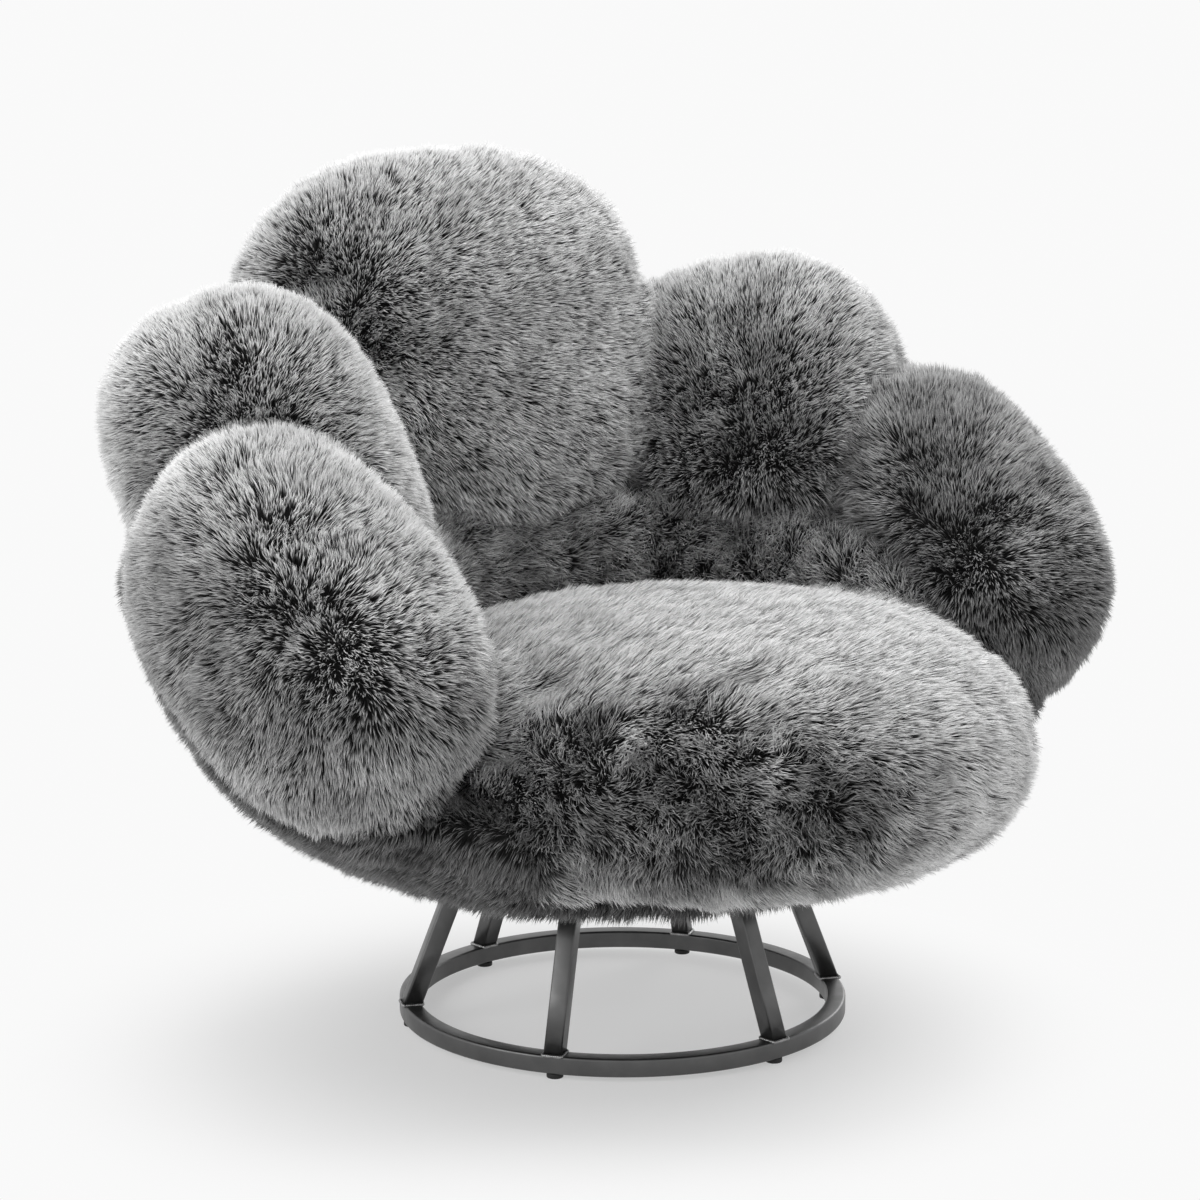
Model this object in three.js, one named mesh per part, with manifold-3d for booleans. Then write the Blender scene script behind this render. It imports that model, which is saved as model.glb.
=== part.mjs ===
// Swivel lounge chair: five upholstered lobes round a plump seat cushion, on a caged steel base.
// Millimetres. The origin is on the floor, on the swivel axis; +Z is up and the chair faces -Y.
// The soft pieces have the outer shape of their fur. Angles are in degrees.
import * as THREE from 'three';
import { mergeVertices } from 'three/addons/utils/BufferGeometryUtils.js';
import Module from 'manifold-3d';

const wasm = await Module();
wasm.setup();

// General clearance, cutting overrun and finish of the round shapes
const seatingGap = 0.3;          // between pieces that touch
const overrun = 5;               // how far a cutting solid passes the face it cuts
const ringFacets = 42;           // sides of the floor ring
const discFacets = 40;           // sides of a plate, board or cover
const raceFacets = 30;           // sides of the bearing's races and cage
const rivetFacets = 16;
const boltFacets = 12;           // sides of a bolt or a glide
const smallFacets = 8;           // sides of a ball, its pocket and the small holes in the floor ring
const hexSides = 6;
const cornerSteps = 2;           // straight pieces in each rounded corner of a square tube
const archSteps = 12;            // straight pieces in the arch of a lobe panel

// Base: floor ring, leaning struts, mounting plate and glides
const ringDiameter = 470;
const ringWidth = 20;
const ringHeight = 19;
const ringWall = 1.5;
const ringCorner = 2.5;
const strutCount = 6;
const strutSide = 19;
const strutWall = 1.5;
const strutCorner = 2;
const strutLeanAngle = 21.2;
const baseTurnAngle = 4.8;       // the base stands turned this far from the seat
const glideDiameter = 17;
const glideHeight = 5.5;
const glideEdge = 1.2;
const glideStemDiameter = 7;
const glideStemRoom = 5.5;       // left above the stem inside the ring
const plateHeight = 186;         // underside of the mounting plate
const plateMargin = 10;          // from the top of the struts to the plate's edge
const plateThickness = 5;

// Swivel bearing: two pressed plates with raceways, caged balls and a hollow rivet
const swivelSide = 160;
const swivelCorner = 14;
const swivelThickness = 3;
const raceRadius = 48;
const raceWidth = 16;
const raceHeight = 3;
const ballDiameter = 8;
const ballClearance = 0.45;
const ballCount = 8;
const cageWidth = 12;
const cageThickness = 2;
const rivetOuter = 12;
const rivetBore = 8;
const rivetFlange = 18;
const rivetFlangeThickness = 1.8;
const rivetClearance = 0.25;
const rivetRoom = 12;            // round the flanges in the mounting plate and the board
const boltEdge = 18;             // from a bolt to the edge of the swivel plate
const boltDiameter = 8;
const boltHeadDiameter = 15;
const boltHeadRoom = 1.5;        // from a bolt head to the middle of the bearing
const boltClearance = 0.3;
const boltPoint = 2;             // how far a bolt stands out of its nut
const nutAcross = 14;
const nutHeight = 6;
const teeNutBarrel = 11;
const teeNutFlange = 22;
const teeNutFlangeThickness = 1.5;
const teeNutLength = 14;

// Timber inside the upholstery, and the cover under it
const boardDiameter = 600;
const boardThickness = 18;
const coverRoom = 2;             // round the corners of the swivel plate
const coverSetback = 10;         // from the board's edge to the cover's
const coverThickness = 0.8;
const panelThickness = 12;
const panelSetback = 17;         // from the board's edge to the middle of a lobe panel
const panelFootWidth = 90;
const tenonWidth = 60;
const panelReachShare = 0.5;     // of a lobe's half height, above its middle, that its panel reaches
const panelWidthShare = 0.52;    // of the lobe's half width, that its panel takes to each side

// Lobes: turn of the lobe and of its panel's foot from the back, place of the middle from the swivel
// axis and above the board, half sizes along the rim, through the lobe and up, share of the half height
// that the foot reaches below the middle, lean away from the seat, and roll
const backLobe = {
  turnAngle: 0, footAngle: 0, reach: 310, height: 453, halfWidth: 253, halfDepth: 132, halfHeight: 214,
  footShare: 1.08, leanAngle: 13.5, rollAngle: 0,
};
const sideLobe = {
  turnAngle: 60.5, footAngle: 51, reach: 367, height: 355, halfWidth: 182, halfDepth: 143, halfHeight: 187,
  footShare: 0.88, leanAngle: 24, rollAngle: -13,
};
const armLobe = {
  turnAngle: 99, footAngle: 75, reach: 420, height: 261, halfWidth: 204, halfDepth: 134, halfHeight: 110,
  footShare: 1.34, leanAngle: -4, rollAngle: 39,
};
const lobeFullness = 2.5;        // 2 is an ellipsoid, larger is squarer
const lobeFootFullness = 3.4;    // the lower half is squarer than the crown
const lobeColumns = 22;
const lobeRows = 11;

// Seat cushion
const cushionRadius = 338;
const cushionHalfHeight = 136;
const cushionForward = 127;      // the cushion's middle lies this far in front of the swivel axis
const cushionHeight = 94;        // of its middle above the board
const cushionFullness = 2.6;
const cushionColumns = 32;
const cushionRows = 12;

// Collar: the roll between the lobes and the cushion, with its heights above the board
const collarHalfWidth = 298;
const collarHalfLength = 288;
const collarBack = -68;
const collarSweepAngle = 112;    // to each side of the back
const collarBackHeight = 220;
const collarFrontHeight = 170;
const collarHalfThickness = 62;
const collarHalfDepth = 84;
const collarEndSharpness = 8;
const collarFallSharpness = 2;   // how late its height starts to fall from the back to the front
const collarStations = 22;
const collarSides = 10;

// Shell: the lower body that carries the lobes and wraps under the board. Angles are from the back, and
// the rim's heights are above the board
const shellWrapDepth = 11;       // of the upholstery under the board
const shellWrapWidth = 60;       // from the board's edge inwards
const shellToe = 6;              // how far its underside rises to the board's edge
const shellFullness = 1.4;
const shellCrownShare = 0.25;    // of the rim's thickness, how high the rim is rounded
const shellLedge = 3.5;          // between the board's edge and the rim in front
const shellBack = { angle: 0, reach: 425, height: 314, thickness: 130 };
const shellSide = { angle: 58, reach: 522, height: 314, thickness: 180 };
const shellArm = { angle: 99, reach: 500, height: 146, thickness: 140 };
const shellCorner = { angle: 128, reach: 430, height: 92, thickness: 70 };
const shellFrontAngle = 155;     // from here to the front the shell is only a lip below the cushion
const shellFrontThickness = 20;
const shellStations = 28;
const shellCurveSteps = 5;
const shellCrownSteps = 3;

const frontAngle = 180;
const degrees = THREE.MathUtils.degToRad;
const quarterTurn = Math.PI / 2;
const halfTurn = Math.PI;
const fullTurn = Math.PI * 2;

// Heights and radii that follow from the stack of pieces
const ringTop = glideHeight + ringHeight;
const ringCentre = ringDiameter / 2 - ringWidth / 2;
const strutLean = degrees(strutLeanAngle);
const strutRise = plateHeight - ringTop;
const plateTop = plateHeight + plateThickness;
const lowerSwivelTop = plateTop + swivelThickness;
const ballHeight = lowerSwivelTop + raceHeight / 2 + ballDiameter / 2;
const upperSwivelBottom = ballHeight * 2 - lowerSwivelTop;
const boardBottom = upperSwivelBottom + swivelThickness;
const boardTop = boardBottom + boardThickness;
const boltReach = swivelSide / 2 - boltEdge;
const boltHeadHeight = (upperSwivelBottom - lowerSwivelTop) / 2 - boltHeadRoom;
const boltHoleRadius = boltDiameter / 2 + boltClearance;
const rivetHoleRadius = rivetFlange + rivetRoom;
const boardRadius = boardDiameter / 2;
const panelCircle = boardRadius - panelSetback;
const shellUnderside = boardBottom - shellWrapDepth;
const shellInner = boardRadius - shellWrapWidth;
// The shell's wall has flat sides, which stay clear of the board's round edge
const shellWall = (boardRadius + seatingGap) / Math.cos(Math.PI / shellStations);
const shellFront = {
  reach: shellWall + shellLedge + shellFrontThickness, height: 0, thickness: shellFrontThickness,
};
const shellRims = [
  shellBack,
  shellSide,
  shellArm,
  shellCorner,
  { angle: shellFrontAngle, ...shellFront },
  { angle: frontAngle, ...shellFront },
];

// Solids and meshes
function toSolid(geometry) {
  const bare = geometry.index ? geometry.toNonIndexed() : geometry.clone();
  bare.deleteAttribute('normal');
  bare.deleteAttribute('uv');
  const welded = mergeVertices(bare);
  return new wasm.Manifold(new wasm.Mesh({
    numProp: 3,
    vertProperties: welded.attributes.position.array,
    triVerts: new Uint32Array(welded.index.array),
  }));
}

function toGeometry(solid) {
  const mesh = solid.getMesh();
  const geometry = new THREE.BufferGeometry();
  geometry.setAttribute('position', new THREE.BufferAttribute(mesh.vertProperties, mesh.numProp));
  geometry.setIndex(new THREE.BufferAttribute(mesh.triVerts, 1));
  const faceted = geometry.toNonIndexed();
  faceted.computeVertexNormals();
  return faceted;
}

function cut(geometry, ...tools) {
  return toGeometry(tools.reduce((left, tool) => left.subtract(toSolid(tool)), toSolid(geometry)));
}

function join(...geometries) {
  const [first, ...others] = geometries.map(toSolid);
  return toGeometry(others.reduce((sum, solid) => sum.add(solid), first));
}

function piece(name, geometry, material, position = [0, 0, 0], rotation = [0, 0, 0]) {
  const mesh = new THREE.Mesh(geometry, material);
  mesh.name = name;
  mesh.position.set(...position);
  mesh.rotation.set(...rotation);
  return mesh;
}

// Turned solid about +Z from a closed profile of [radius, height] points
function turned(profile, facets) {
  const points = profile.map(([radius, height]) => new THREE.Vector2(radius, height));
  return new THREE.LatheGeometry(points, facets).rotateX(quarterTurn);
}

// Upright cylinder from one height to another
function rod(radius, bottom, top, facets = boltFacets) {
  return turned([[0, bottom], [radius, bottom], [radius, top], [0, top]], facets);
}

// Flat ring between two heights
function washer(outer, inner, bottom, top, facets = discFacets) {
  return turned([[inner, bottom], [outer, bottom], [outer, top], [inner, top], [inner, bottom]], facets);
}

function ringOfPoints(count, radius, height, turn = 0) {
  return Array.from({ length: count }, (_, k) => {
    const angle = turn + (k * fullTurn) / count;
    return [radius * Math.sin(angle), -radius * Math.cos(angle), height];
  });
}

function copiesAt(geometry, places) {
  return places.map((place) => geometry.clone().translate(...place));
}

// Rounded rectangle as a path, centred on the origin
function roundedRectangle(width, length, corner, Kind = THREE.Shape) {
  const x = width / 2;
  const y = length / 2;
  const path = new Kind();
  path.moveTo(x, y - corner);
  path.absarc(x - corner, y - corner, corner, 0, quarterTurn);
  path.absarc(-x + corner, y - corner, corner, quarterTurn, halfTurn);
  path.absarc(-x + corner, -y + corner, corner, halfTurn, halfTurn + quarterTurn);
  path.absarc(x - corner, -y + corner, corner, halfTurn + quarterTurn, fullTurn);
  path.closePath();
  return path;
}

// Tilts an upright solid without turning its level faces: x and y move by these shares of the height
function sheared(geometry, slopeX, slopeY) {
  const shear = new THREE.Matrix4().makeShear(0, 0, 0, 0, slopeX, slopeY);
  return geometry.applyMatrix4(shear);
}

// Closed surface through rings of points; a ring of one point is a pole
function loft(rings, looped = false) {
  const positions = rings.flat().flatMap((point) => [...point]);
  const starts = rings.map((_, k) => rings.slice(0, k).reduce((sum, ring) => sum + ring.length, 0));
  const triangles = [];
  const spans = looped ? rings.length : rings.length - 1;
  for (let k = 0; k < spans; k += 1) {
    const next = (k + 1) % rings.length;
    const count = Math.max(rings[k].length, rings[next].length);
    for (let j = 0; j < count; j += 1) {
      const after = (j + 1) % count;
      const a = starts[k] + (rings[k].length > 1 ? j : 0);
      const b = starts[k] + (rings[k].length > 1 ? after : 0);
      const c = starts[next] + (rings[next].length > 1 ? after : 0);
      const d = starts[next] + (rings[next].length > 1 ? j : 0);
      if (rings[k].length > 1) triangles.push(a, b, c);
      if (rings[next].length > 1) triangles.push(a, c, d);
    }
  }
  const geometry = new THREE.BufferGeometry();
  geometry.setAttribute('position', new THREE.Float32BufferAttribute(positions, 3));
  geometry.setIndex(triangles);
  return geometry;
}

// Power of a sine or cosine that squares up a round outline
function squared(value, fullness) {
  return Math.sign(value) * Math.abs(value) ** (2 / fullness);
}

// Stuffed form: a crowned body whose sides bulge and draw in, squarer below its middle
function stuffed(halfX, halfY, halfZ, footShare, columns, rows) {
  const rings = [];
  for (let k = 0; k <= rows; k += 1) {
    const climb = -quarterTurn + (halfTurn * k) / rows;
    const fullness = climb < 0 ? lobeFootFullness : lobeFullness;
    const rise = climb < 0 ? halfZ * footShare : halfZ;
    const height = rise * squared(Math.sin(climb), fullness);
    const spread = squared(Math.cos(climb), fullness);
    if (k === 0 || k === rows) {
      rings.push([[0, 0, height]]);
    } else {
      rings.push(Array.from({ length: columns }, (_, j) => {
        const angle = (j * fullTurn) / columns;
        const x = halfX * spread * squared(Math.cos(angle), lobeFullness);
        const y = halfY * spread * squared(Math.sin(angle), lobeFullness);
        return [x, y, height];
      }));
    }
  }
  return loft(rings);
}

// Materials
const steel = new THREE.MeshStandardMaterial({ color: 0x6f7174, metalness: 0.9, roughness: 0.38 });
const zinc = new THREE.MeshStandardMaterial({ color: 0xa4a7aa, metalness: 0.9, roughness: 0.35 });
const glidePlastic = new THREE.MeshStandardMaterial({ color: 0x131314, metalness: 0, roughness: 0.6 });
const plywood = new THREE.MeshStandardMaterial({ color: 0xb8935f, metalness: 0, roughness: 0.7 });
const lining = new THREE.MeshStandardMaterial({ color: 0x18181a, metalness: 0, roughness: 0.95 });
const fur = new THREE.MeshStandardMaterial({ color: 0x6b6b6d, metalness: 0, roughness: 1 });
const seatFur = new THREE.MeshStandardMaterial({ color: 0x7c7c7e, metalness: 0, roughness: 1 });

// Base

function floorRing() {
  const outer = ringDiameter / 2;
  const inner = outer - ringWidth;
  const wallOuter = outer - ringWall;
  const wallInner = inner + ringWall;
  const profile = roundedRectangle(ringWidth, ringHeight, ringCorner).getPoints(cornerSteps);
  const middle = glideHeight + ringHeight / 2;
  const tube = turned(profile.map(({ x, y }) => [ringCentre + x, middle + y]), ringFacets);
  const hollow = washer(wallOuter, wallInner, glideHeight + ringWall, ringTop - ringWall, ringFacets);
  const holeRadius = (glideStemDiameter / 2 + seatingGap) / Math.cos(Math.PI / smallFacets);
  const hole = rod(holeRadius, glideHeight - overrun, glideHeight + ringWall + overrun, smallFacets);
  return cut(tube, hollow, ...copiesAt(hole, ringOfPoints(strutCount, ringCentre, 0)));
}

function strut() {
  const stretch = 1 / Math.cos(strutLean);
  const section = roundedRectangle(strutSide, strutSide * stretch, strutCorner);
  const bore = strutSide - strutWall * 2;
  section.holes.push(roundedRectangle(bore, bore * stretch, strutCorner / 2, THREE.Path));
  const tube = new THREE.ExtrudeGeometry(section, {
    depth: strutRise, bevelEnabled: false, curveSegments: cornerSteps,
  });
  return sheared(tube, 0, Math.tan(strutLean));
}

function glide() {
  const radius = glideDiameter / 2;
  const stem = glideStemDiameter / 2;
  const stemTop = ringTop - ringWall - glideStemRoom;
  return turned([
    [0, 0], [radius - glideEdge, 0], [radius, glideEdge], [radius, glideHeight - glideEdge],
    [radius - glideEdge, glideHeight], [stem, glideHeight], [stem, stemTop], [0, stemTop],
  ], boltFacets);
}

const boltPlaces = [[1, 1], [-1, 1], [-1, -1], [1, -1]].map(([x, y]) => [x * boltReach, y * boltReach, 0]);

function boltHoles(bottom, top) {
  return copiesAt(rod(boltHoleRadius, bottom - overrun, top + overrun), boltPlaces);
}

function mountingPlate() {
  const strutTop = ringCentre - strutRise * Math.tan(strutLean) + strutSide / 2 / Math.cos(strutLean);
  const disc = washer(strutTop + plateMargin, rivetHoleRadius, plateHeight, plateTop);
  return cut(disc, ...boltHoles(plateHeight, plateTop));
}

// Swivel bearing

function swivelPlate(bottom, raceBottom, raceTop) {
  const outline = roundedRectangle(swivelSide, swivelSide, swivelCorner);
  const flat = new THREE.ExtrudeGeometry(outline, {
    depth: swivelThickness, bevelEnabled: false, curveSegments: boltFacets / 2,
  }).translate(0, 0, bottom);
  const raceOuter = raceRadius + raceWidth / 2;
  const raceInner = raceRadius - raceWidth / 2;
  const race = washer(raceOuter, raceInner, raceBottom, raceTop, raceFacets);
  const track = ballDiameter / 2 + ballClearance;
  const groove = new THREE.TorusGeometry(raceRadius, track, boltFacets, raceFacets);
  groove.translate(0, 0, ballHeight);
  const top = bottom + swivelThickness;
  const bore = (rivetOuter + rivetClearance) / Math.cos(Math.PI / rivetFacets);
  const hole = rod(bore, bottom - overrun, top + overrun, rivetFacets);
  return cut(join(flat, race), groove, hole, ...boltHoles(bottom, top));
}

function lowerSwivelPlate() {
  const sunk = swivelThickness / 2;
  return swivelPlate(plateTop, lowerSwivelTop - sunk, lowerSwivelTop + raceHeight);
}

function upperSwivelPlate() {
  const sunk = swivelThickness / 2;
  return swivelPlate(upperSwivelBottom, upperSwivelBottom - raceHeight, upperSwivelBottom + sunk);
}

function ballCage() {
  const low = ballHeight - cageThickness / 2;
  const high = ballHeight + cageThickness / 2;
  const band = washer(raceRadius + cageWidth / 2, raceRadius - cageWidth / 2, low, high, raceFacets);
  const pocket = rod(ballDiameter / 2 + ballClearance, low - overrun, high + overrun, smallFacets);
  return cut(band, ...copiesAt(pocket, ringOfPoints(ballCount, raceRadius, 0)));
}

function bearingBall() {
  return new THREE.SphereGeometry(ballDiameter / 2, smallFacets, smallFacets / 2 + 1);
}

function centreRivet() {
  const low = plateTop - seatingGap;
  const high = boardBottom + seatingGap;
  const bottom = low - rivetFlangeThickness;
  const top = high + rivetFlangeThickness;
  return turned([
    [rivetBore, bottom], [rivetFlange, bottom], [rivetFlange, low], [rivetOuter, low],
    [rivetOuter, high], [rivetFlange, high], [rivetFlange, top], [rivetBore, top], [rivetBore, bottom],
  ], rivetFacets);
}

// Bolt whose head and shank each run between two heights
function bolt(headBottom, headTop, shankBottom, shankTop) {
  return join(
    rod(boltHeadDiameter / 2, headBottom, headTop),
    rod(boltDiameter / 2, shankBottom, shankTop),
  );
}

function lowerBolt() {
  const head = lowerSwivelTop;
  const point = plateHeight - nutHeight - boltPoint;
  return bolt(head, head + boltHeadHeight, point, head + boltHeadHeight / 2);
}

function lowerNut() {
  const radius = nutAcross / 2 / Math.cos(Math.PI / hexSides);
  return cut(
    rod(radius, plateHeight - nutHeight, plateHeight, hexSides),
    rod(boltHoleRadius, plateHeight - nutHeight - overrun, plateHeight + overrun),
  );
}

function upperBolt() {
  const head = upperSwivelBottom;
  return bolt(head - boltHeadHeight, head, head - boltHeadHeight / 2, boardTop - teeNutFlangeThickness);
}

function teeNut() {
  const flangeBottom = boardTop - teeNutFlangeThickness;
  const blank = join(
    rod(teeNutFlange / 2, flangeBottom, boardTop),
    rod(teeNutBarrel / 2, boardTop - teeNutLength, flangeBottom + teeNutFlangeThickness / 2),
  );
  return cut(blank, rod(boltHoleRadius, boardBottom, boardTop + overrun));
}

// Timber

// Each lobe, its size, its side of the chair, and the lobes that bulge over it
const lobePlaces = [
  { name: 'back', size: backLobe, side: 1, under: [] },
  { name: 'left_side', size: sideLobe, side: -1, under: ['back', 'left_arm'] },
  { name: 'right_side', size: sideLobe, side: 1, under: ['back', 'right_arm'] },
  { name: 'left_arm', size: armLobe, side: -1, under: [] },
  { name: 'right_arm', size: armLobe, side: 1, under: [] },
];

// Arched panel that stands on the board and leans towards the middle of its lobe, with a tenon;
// grow is the clearance round it when it is used as a pocket
function panel({ size, side }, grow = 0) {
  const foot = panelFootWidth / 2 + grow;
  const crown = size.halfWidth * panelWidthShare + grow;
  const top = size.height + size.halfHeight * panelReachShare + grow;
  const shoulder = top - crown;
  const tenon = tenonWidth / 2 + grow;
  const outline = new THREE.Shape();
  outline.moveTo(-foot, -grow);
  outline.lineTo(-tenon, -grow);
  outline.lineTo(-tenon, -boardThickness);
  outline.lineTo(tenon, -boardThickness);
  outline.lineTo(tenon, -grow);
  outline.lineTo(foot, -grow);
  outline.lineTo(crown, shoulder);
  outline.absarc(0, shoulder, crown, 0, halfTurn);
  outline.closePath();
  const between = degrees(size.turnAngle - size.footAngle);
  const slopeOut = (size.reach * Math.cos(between) - panelCircle) / size.height;
  const slopeAlong = (side * size.reach * Math.sin(between)) / size.height;
  const thickness = panelThickness * Math.hypot(1, slopeOut) + grow * 2;
  const flat = new THREE.ExtrudeGeometry(outline, {
    depth: thickness, bevelEnabled: false, curveSegments: archSteps,
  });
  return sheared(flat.rotateX(quarterTurn).translate(0, thickness / 2, 0), slopeAlong, slopeOut);
}

function panelTurn({ size, side }) {
  return -side * degrees(size.footAngle);
}

function panelPlace({ size, side }) {
  const angle = side * degrees(size.footAngle);
  return [panelCircle * Math.sin(angle), panelCircle * Math.cos(angle), boardTop];
}

function panelPocket(place) {
  return panel(place, seatingGap).rotateZ(panelTurn(place)).translate(...panelPlace(place));
}

function seatBoard() {
  const disc = washer(boardRadius, rivetHoleRadius, boardBottom, boardTop);
  const barrel = rod(teeNutBarrel / 2 + seatingGap, boardBottom - overrun, boardTop + overrun);
  const flangeSeat = boardTop - teeNutFlangeThickness - seatingGap;
  const flange = rod(teeNutFlange / 2 + seatingGap, flangeSeat, boardTop + overrun);
  const mortises = lobePlaces.map(panelPocket);
  return cut(disc, ...copiesAt(barrel, boltPlaces), ...copiesAt(flange, boltPlaces), ...mortises);
}

function dustCover() {
  const top = boardBottom - seatingGap;
  const inner = Math.hypot(swivelSide, swivelSide) / 2 + coverRoom;
  return washer(boardRadius - coverSetback, inner, top - coverThickness, top);
}

// Upholstery

function lobeMatrix(size, side) {
  const angle = side * degrees(size.turnAngle);
  const out = new THREE.Vector3(Math.sin(angle), Math.cos(angle), 0);
  const along = new THREE.Vector3(Math.cos(angle), -Math.sin(angle), 0);
  const up = new THREE.Vector3(0, 0, 1);
  const matrix = new THREE.Matrix4().makeBasis(along, out, up);
  matrix.multiply(new THREE.Matrix4().makeRotationX(-degrees(size.leanAngle)));
  matrix.multiply(new THREE.Matrix4().makeRotationY(side * degrees(size.rollAngle)));
  return matrix.setPosition(out.x * size.reach, out.y * size.reach, boardTop + size.height);
}

function lobeForm({ size, side }, grow = 0) {
  const halves = [size.halfWidth, size.halfDepth, size.halfHeight].map((value) => value + grow);
  const form = stuffed(...halves, size.footShare, lobeColumns, lobeRows);
  return form.applyMatrix4(lobeMatrix(size, side));
}

// Round cushion: circular in plan, squared up in height
function cushionBody(grow = 0) {
  const rings = [];
  for (let k = 0; k <= cushionRows; k += 1) {
    const climb = -quarterTurn + (halfTurn * k) / cushionRows;
    const height = (cushionHalfHeight + grow) * squared(Math.sin(climb), cushionFullness);
    const radius = (cushionRadius + grow) * squared(Math.cos(climb), cushionFullness);
    const pole = k === 0 || k === cushionRows;
    rings.push(pole ? [[0, 0, height]] : ringOfPoints(cushionColumns, radius, height));
  }
  return loft(rings).translate(0, -cushionForward, boardTop + cushionHeight);
}

// It lies flat on the board and on the lip round it, and rolls down in front of them
function seatCushion(grow = 0) {
  const lip = (shellFront.reach + seatingGap) / Math.cos(Math.PI / discFacets) - grow;
  const top = boardTop + seatingGap - grow;
  const seat = rod(lip, shellUnderside - cushionHalfHeight, top, discFacets);
  return cut(cushionBody(grow), seat, ...lobePlaces.map(panelPocket));
}

// A lobe gives way to the lobes over it, the cushion and the collar
function lobe(place) {
  const over = lobePlaces.filter(({ name }) => place.under.includes(name));
  const neighbours = over.map((other) => lobeForm(other, seatingGap));
  const pockets = lobePlaces.map(panelPocket);
  return cut(lobeForm(place), cushionBody(seatingGap), collarForm(seatingGap), ...pockets, ...neighbours);
}

function collarForm(grow = 0) {
  const rings = [];
  for (let k = 0; k <= collarStations; k += 1) {
    const along = (2 * k) / collarStations - 1;
    const angle = degrees(collarSweepAngle) * along;
    const fall = ((1 - Math.cos(along * halfTurn)) / 2) ** collarFallSharpness;
    const height = boardTop + THREE.MathUtils.lerp(collarBackHeight, collarFrontHeight, fall);
    const x = collarHalfWidth * Math.sin(angle);
    const y = collarBack + collarHalfLength * Math.cos(angle);
    const fullness = Math.sqrt(1 - Math.abs(along) ** collarEndSharpness);
    if (k === 0 || k === collarStations) {
      rings.push([[x, y, height]]);
    } else {
      rings.push(Array.from({ length: collarSides }, (_, j) => {
        const round = (j * fullTurn) / collarSides;
        const out = (collarHalfThickness * fullness + grow) * Math.cos(round);
        const rise = (collarHalfDepth * fullness + grow) * Math.sin(round);
        return [x + out * Math.sin(angle), y + out * Math.cos(angle), height + rise];
      }));
    }
  }
  return loft(rings);
}

function collar() {
  return cut(collarForm(), cushionBody(seatingGap), ...lobePlaces.map(panelPocket));
}

// Value of the rim table at an angle from the back, eased between its rows
function rimAt(angle, key) {
  const next = Math.max(1, shellRims.findIndex((row) => row.angle >= angle));
  const [low, high] = [shellRims[next - 1], shellRims[next]];
  const share = THREE.MathUtils.smoothstep(angle, low.angle, high.angle);
  return THREE.MathUtils.lerp(low[key], high[key], share);
}

// Outline of the shell as [radius, height] points: under the board, up its outside, over the rounded
// rim and down its inside
function shellSection(angle) {
  const reach = rimAt(angle, 'reach');
  const halfRim = rimAt(angle, 'thickness') / 2;
  const crown = halfRim * 2 * shellCrownShare;
  const shoulder = boardTop + rimAt(angle, 'height') - crown;
  const toe = shellUnderside + shellToe;
  const wrapTop = boardBottom - seatingGap * 2 - coverThickness;
  const section = [[shellInner, shellUnderside], [shellWall, toe]];
  for (let k = 1; k <= shellCurveSteps; k += 1) {
    const climb = (quarterTurn * k) / shellCurveSteps;
    const out = squared(Math.sin(climb), shellFullness);
    const up = 1 - squared(Math.cos(climb), shellFullness);
    section.push([
      THREE.MathUtils.lerp(shellWall, reach, out),
      THREE.MathUtils.lerp(toe, shoulder, up),
    ]);
  }
  for (let k = 1; k <= shellCrownSteps; k += 1) {
    const over = (halfTurn * k) / shellCrownSteps;
    section.push([reach - halfRim + halfRim * Math.cos(over), shoulder + crown * Math.sin(over)]);
  }
  section.push([shellWall, boardTop], [shellWall, wrapTop], [shellInner, wrapTop]);
  return section;
}

function shellForm() {
  const rings = Array.from({ length: shellStations }, (_, k) => {
    const turn = (k * fullTurn) / shellStations;
    const fromBack = THREE.MathUtils.radToDeg(Math.min(turn, fullTurn - turn));
    return shellSection(fromBack).map(([reach, height]) => [
      reach * Math.sin(turn), reach * Math.cos(turn), height,
    ]);
  });
  return loft(rings, true);
}

function shell() {
  const lobes = lobePlaces.map((place) => lobeForm(place, seatingGap));
  const pockets = lobePlaces.map(panelPocket);
  return cut(shellForm(), ...lobes, collarForm(seatingGap), seatCushion(seatingGap), ...pockets);
}

// Assembly

const chair = new THREE.Group();
const base = new THREE.Group();
const seat = new THREE.Group();
base.rotation.z = degrees(baseTurnAngle);
chair.add(base, seat);

base.add(piece('floor_ring', floorRing(), steel));
const strutNames = ['front', 'front_right', 'back_right', 'back', 'back_left', 'front_left'];
strutNames.forEach((name, k) => {
  const turn = (k * fullTurn) / strutCount;
  const [[x, y]] = ringOfPoints(1, ringCentre, 0, turn);
  base.add(piece(`${name}_strut`, strut(), steel, [x, y, ringTop], [0, 0, turn]));
  base.add(piece(`${name}_glide`, glide(), glidePlastic, [x, y, 0]));
});
base.add(piece('mounting_plate', mountingPlate(), steel));
base.add(piece('lower_swivel_plate', lowerSwivelPlate(), zinc));
base.add(piece('centre_rivet', centreRivet(), zinc));
base.add(piece('ball_cage', ballCage(), zinc));
ringOfPoints(ballCount, raceRadius, ballHeight).forEach((place, k) => {
  base.add(piece(`bearing_ball_${k + 1}`, bearingBall(), zinc, place));
});
boltPlaces.forEach((place, k) => {
  base.add(piece(`lower_bolt_${k + 1}`, lowerBolt(), zinc, place));
  base.add(piece(`lower_nut_${k + 1}`, lowerNut(), zinc, place));
  seat.add(piece(`upper_bolt_${k + 1}`, upperBolt(), zinc, place));
  seat.add(piece(`tee_nut_${k + 1}`, teeNut(), zinc, place));
});

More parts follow.
